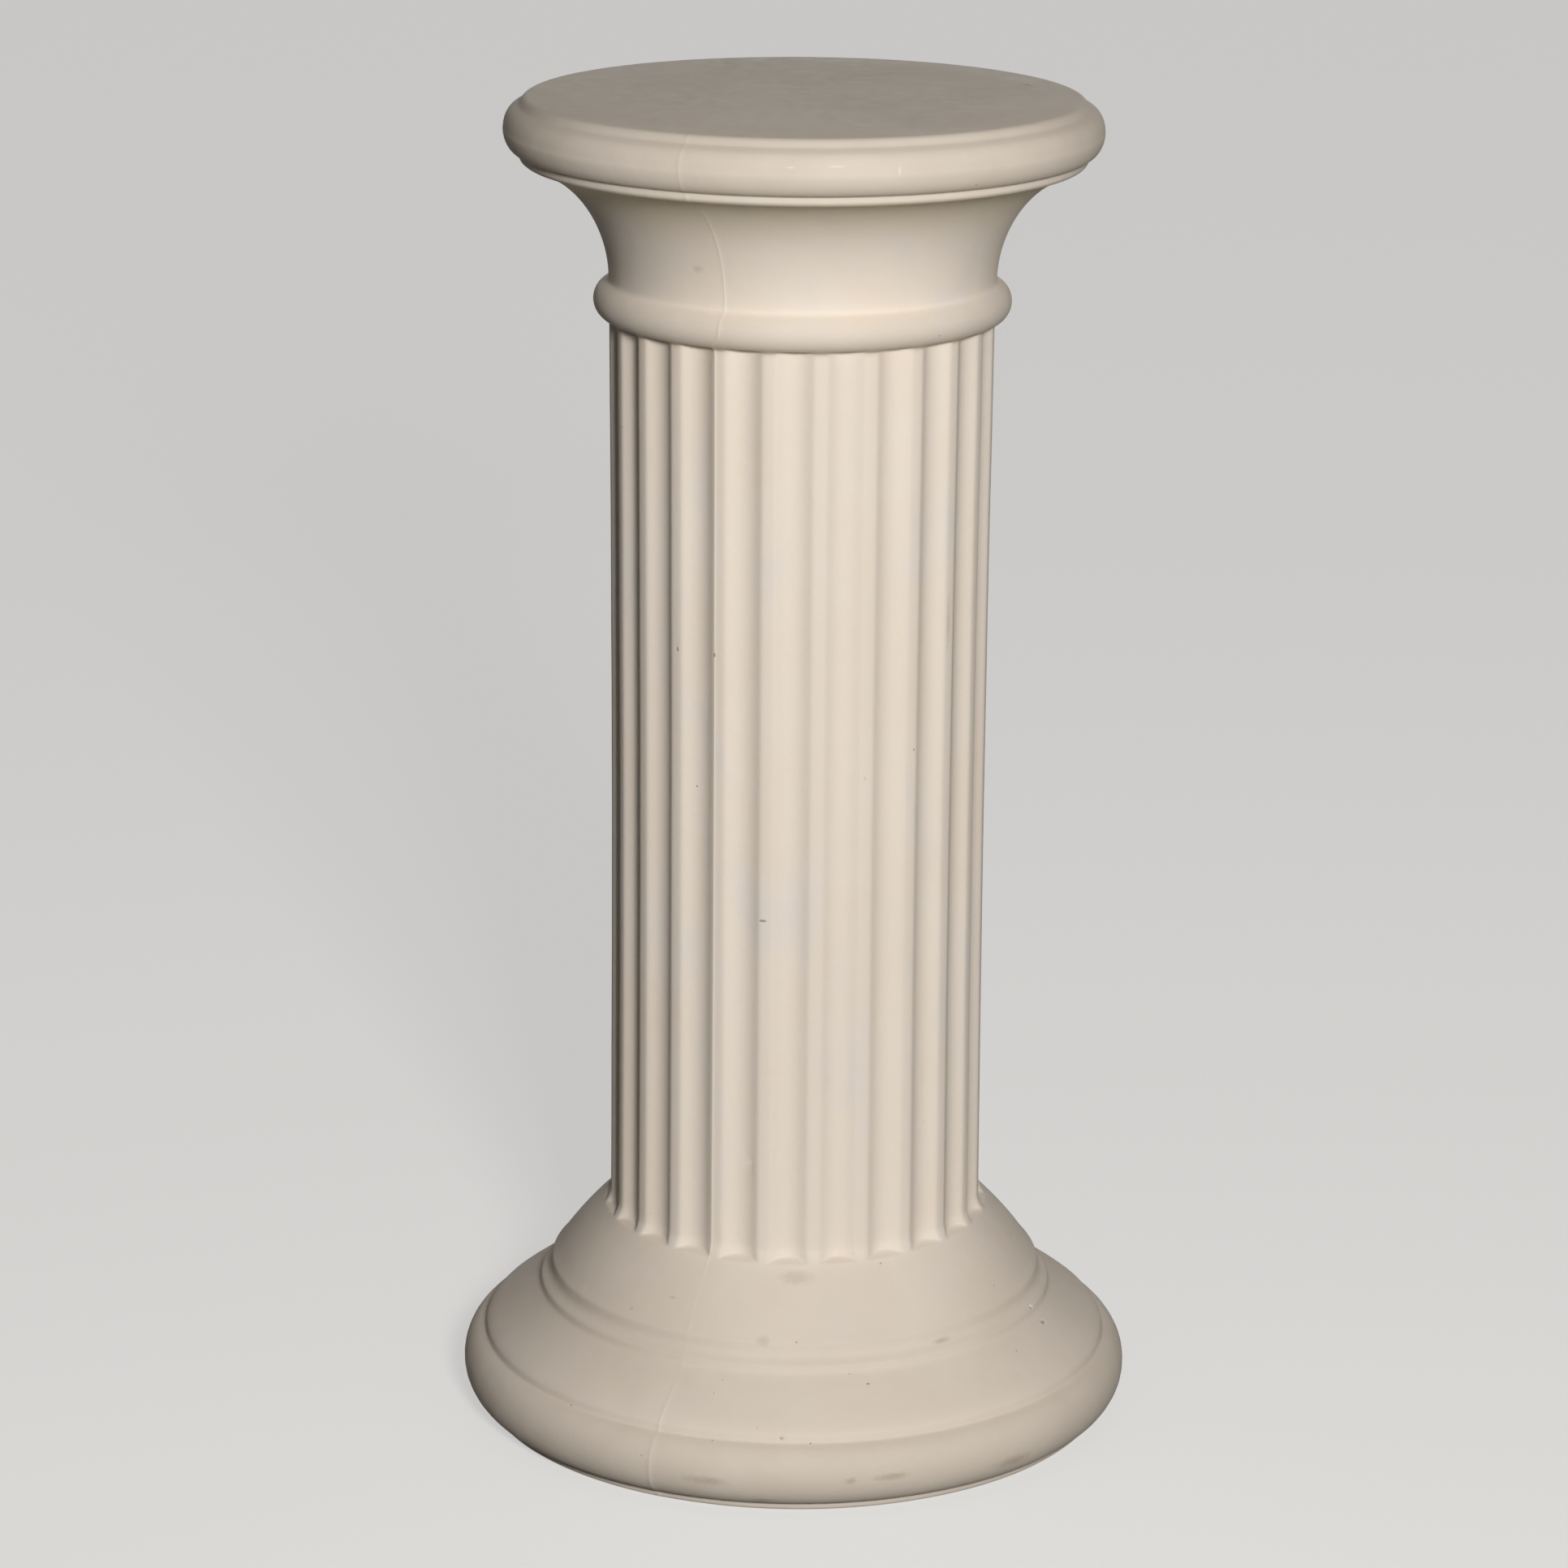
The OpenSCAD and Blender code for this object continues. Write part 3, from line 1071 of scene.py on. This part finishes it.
    def note_hollows(self, mesh: Mesh) -> None:
        """Stores how hollow the surface is at each point, for the grime and painted shade in the creases.

        Args:
            mesh: The casting's mesh.
        """
        count = len(mesh.vertices)
        coords, normals = np.zeros(count * 3, np.float32), np.zeros(count * 3, np.float32)
        ends = np.zeros(len(mesh.edges) * 2, np.int32)
        mesh.vertices.foreach_get("co", coords)
        mesh.vertex_normals.foreach_get("vector", normals)
        mesh.edges.foreach_get("vertices", ends)
        coords, normals = coords.reshape(-1, 3), normals.reshape(-1, 3)
        one, other = ends.reshape(-1, 2).T
        run = coords[other] - coords[one]
        run /= np.maximum(np.linalg.norm(run, axis=1), 1e-9)[:, None]
        hollow, edges = np.zeros(count), np.zeros(count)
        for point, way in ((one, run), (other, -run)):
            np.add.at(hollow, point, (normals[point] * way).sum(axis=1))
            np.add.at(edges, point, 1)
        hollow = np.maximum(hollow / edges, 0)
        for _ in range(2):
            around = hollow.copy()
            np.add.at(around, one, hollow[other])
            np.add.at(around, other, hollow[one])
            hollow = np.maximum(hollow * 0.5, around / (edges + 1))
        self.store(mesh, "hollow", hollow)

    def note_soil_and_top_shade(self, mesh: Mesh) -> None:
        """Stores how grimy each moulding is, with painted shade on the flat top: the foot, the head's roll
        and the top most, and the shaft not.

        Args:
            mesh: The casting's mesh.
        """
        coords = np.zeros(len(mesh.vertices) * 3, np.float32)
        mesh.vertices.foreach_get("co", coords)
        rim_z, roll_z, cove_top, cove_z, astragal_z = self.head.levels(self.height)
        # The share of grime at each level, and straight runs between them; on the flat top it is painted
        # shade
        _, foot_roll, step, _, splay, *_ = self.foot.levels()
        shares = {foot_roll * 0.6: 1.0, foot_roll - 3: 0.95, step: 0.45, splay: 0.65,
                  self.toe_z - 3: 0.45, self.toe_z + 3: 0.1, self.shaft_low: 0.0,
                  astragal_z - 1: 0.0, astragal_z + 3: 0.5, cove_z - 4: 0.5, cove_z: 0.0,
                  # The flat top's share is painted shade that keeps the top dim
                  cove_top: 0.0, roll_z + 4: 0.9, rim_z + 2: 0.85, self.height: 0.9}
        soil_and_top_shade = np.interp(coords[2::3] / MM, list(shares), list(shares.values()))
        self.store(mesh, "soil_and_top_shade", soil_and_top_shade)

    def build(self) -> Object:
        """Makes the casting and ties it to the CAD column.

        Returns:
            The piece.
        """
        rows = self.rows()
        marks = [(mark, self.place_on(rows, mark)) for mark in casting_flaws()]
        row_values, station_values = self.row_values(rows), self.station_values()
        holders = [points_object("outline_rows", row_values),
                   points_object("sweep_stations", station_values)]
        finish = self.finish.build(marks, self.toe_z * MM)
        piece = FlutedSweep().sweep(self.name, {
            "Outline": holders[0], "Stations": holders[1],
            "Rows": len(rows), "Columns": len(station_values["azimuth"]),
            "Toe softness": self.shaft.toe_soft, "Flute flare": self.shaft.flute_flare - 1,
            "Ripple": self.ripple, "Ripple size": self.ripple_size,
            "Seed": self.seed, "Finish": finish})
        for holder in holders:
            bpy.data.objects.remove(holder)
        self.cut_marks(piece.data, marks)
        self.note_hollows(piece.data)
        self.note_soil_and_top_shade(piece.data)
        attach(piece, ROOT_BODY)
        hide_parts(CAD_NODE)
        triangles = sum(len(face.vertices) - 2 for face in piece.data.polygons)
        LOG.info("%s: %d rows, %d stations, %d triangles", piece.name, len(rows),
                 len(station_values["azimuth"]), triangles)
        return piece


def seen_ray(tree: NodeTree) -> Node:
    """Tells a ray that is seen, straight or in a gloss, from one that lights.

    Args:
        tree: The floor's or the room's tree.

    Returns:
        The node that gives one for a ray that is seen, and otherwise nought.
    """
    ray = add_node(tree, "ShaderNodeLightPath").outputs
    seen = ray["Is Camera Ray"]
    for other in ("Is Glossy Ray", "Is Transmission Ray"):
        seen = add_node(tree, MATH, {"operation": "MAXIMUM"}, {0: seen, 1: ray[other]})
    return seen


@dataclass(frozen=True)
class StudioFloor:
    """A plain pale floor. It is seen pale, with the column's shadow, and throws little light back."""

    colour: str = "#e4e2de"
    glow: str = "#f4f3f1"
    thrown: str = "#3a3938"
    glow_share: float = 0.6
    half_width: float = 9.0

    def build(self) -> Object:
        """Makes the floor.

        Returns:
            The floor object.
        """
        reach = self.half_width
        mesh = bpy.data.meshes.new("floor")
        corners = [(-reach, -reach, 0), (reach, -reach, 0), (reach, reach, 0), (-reach, reach, 0)]
        mesh.from_pydata(corners, [], [(0, 1, 2, 3)])
        floor = bpy.data.objects.new("floor", mesh)
        bpy.context.scene.collection.objects.link(floor)
        material = bpy.data.materials.new("matt_studio_floor")
        material.use_nodes = True
        tree = material.node_tree
        tree.nodes.clear()
        pale = add_node(tree, "ShaderNodeBsdfDiffuse", None, {"Color": linear_colour(self.colour)})
        glow = add_node(tree, "ShaderNodeEmission", None,
                        {"Color": linear_colour(self.glow), "Strength": 1.0})
        shown = add_node(tree, "ShaderNodeMixShader", None, {0: self.glow_share, 1: pale, 2: glow})
        thrown = add_node(tree, "ShaderNodeBsdfDiffuse", None, {"Color": linear_colour(self.thrown)})
        mixed = add_node(tree, "ShaderNodeMixShader", None, {0: seen_ray(tree), 1: thrown, 2: shown})
        add_node(tree, "ShaderNodeOutputMaterial", None, {"Surface": mixed})
        mesh.materials.append(material)
        return floor


@dataclass(frozen=True)
class Lamp:
    """A soft square lamp, placed round the column by azimuth and distance."""

    name: str
    azimuth: float
    distance: float
    height: float
    size: float
    power: float
    colour: str = "#ffffff"

    def build(self, aim: Vector) -> Object:
        """Makes the lamp and points it.

        Args:
            aim: What it points at.

        Returns:
            The lamp object.
        """
        light = bpy.data.lights.new(self.name, "AREA")
        light.shape, light.size = "SQUARE", self.size
        light.energy = self.power
        light.color = linear_colour(self.colour)[:3]
        lamp = bpy.data.objects.new(self.name, light)
        turn = math.radians(self.azimuth)
        lamp.location = (self.distance * math.cos(turn), self.distance * math.sin(turn), self.height)
        lamp.rotation_euler = (aim - lamp.location).to_track_quat("-Z", "Y").to_euler()
        bpy.context.scene.collection.objects.link(lamp)
        return lamp


@dataclass(frozen=True)
class StudioLight:
    """Soft studio light: a key a little to the right of the camera, a screen behind, and a dim room."""

    lamps: tuple[Lamp, ...] = (Lamp("key", 274.6, 2.73, 1.39, 0.5, 74.0),)
    room: str = "#f4f3f1"
    room_strength: float = 0.09
    shown_strength: float = 0.68
    # The screen lights the column's back, from straight behind it and so low that the top stays dim
    screen_azimuth: float = 84.6
    screen_rise: float = 1.0
    screen_reach: float = 16.0
    screen_strength: float = 8.0

    def build(self, aim: Vector) -> None:
        """Makes the lamps and the room.

        Args:
            aim: What the lamps point at.
        """
        for lamp in self.lamps:
            lamp.build(aim)
        world = bpy.data.worlds.new("room")
        bpy.context.scene.world = world
        world.use_nodes = True
        tree = world.node_tree
        tree.nodes.clear()
        way = Euler((0, -math.radians(self.screen_rise), math.radians(self.screen_azimuth)))
        toward = add_node(tree, "ShaderNodeTexCoord").outputs["Generated"]
        facing = add_node(tree, VECTOR_MATH, {"operation": "DOT_PRODUCT"},
                          {0: toward, 1: way.to_matrix().col[0]})
        reach = math.radians(self.screen_reach)
        screened = add_node(tree, MAP_RANGE, SMOOTH,
                            {"Value": facing, "From Min": math.cos(reach),
                             "From Max": math.cos(reach / 4), "To Min": self.room_strength,
                             "To Max": self.screen_strength})
        lit, shown = (add_node(tree, "ShaderNodeBackground", None,
                               {"Color": linear_colour(self.room), "Strength": strength})
                      for strength in (screened, self.shown_strength))
        mixed = add_node(tree, "ShaderNodeMixShader", None, {0: seen_ray(tree), 1: lit, 2: shown})
        add_node(tree, "ShaderNodeOutputWorld", None, {"Surface": mixed})


@dataclass(frozen=True)
class ViewCamera:
    """The camera: a long lens a little above the column's top, looking down at it."""

    lens: float = 116.46
    sensor: float = 36.0
    distance: float = 2.5951
    height: float = 1.0927
    aside: float = -0.0077
    azimuth: float = 5.4
    pitch: float = 16.103
    roll: float = 0.441

    def build(self) -> Object:
        """Makes the camera and sets it as the scene's own.

        Returns:
            The camera object.
        """
        data = bpy.data.cameras.new("view")
        data.lens, data.sensor_width = self.lens, self.sensor
        camera = bpy.data.objects.new("view", data)
        bpy.context.scene.collection.objects.link(camera)
        turn, pitch, roll = (math.radians(v) for v in (self.azimuth, self.pitch, self.roll))
        right = Vector((math.cos(turn), -math.sin(turn), 0))
        level = Vector((math.sin(turn), math.cos(turn), 0))
        ahead = level * math.cos(pitch) - Vector((0, 0, math.sin(pitch)))
        up = right.cross(ahead)
        rolled_right = right * math.cos(roll) + up * math.sin(roll)
        rolled_up = up * math.cos(roll) - right * math.sin(roll)
        place = right * self.aside - level * self.distance + Vector((0, 0, self.height))
        turned = Matrix((rolled_right, rolled_up, -ahead)).transposed().to_4x4()
        camera.matrix_world = Matrix.Translation(place) @ turned
        bpy.context.scene.camera = camera
        return camera


def main() -> None:
    """Builds the column, the floor, the light and the camera, in that order."""
    logging.basicConfig(level=logging.INFO, format="%(name)s: %(message)s")
    bpy.context.scene.view_settings.view_transform = "Standard"
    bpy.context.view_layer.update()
    low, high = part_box(CAD_NODE)
    ColumnMoulding(height=(high[2] - low[2]) / MM, foot_radius=(high[0] - low[0]) / 2 / MM).build()
    StudioFloor().build()
    StudioLight().build(Vector((0, 0, (low[2] + high[2]) / 2)))
    ViewCamera().build()


if __name__ == "__main__":
    main()
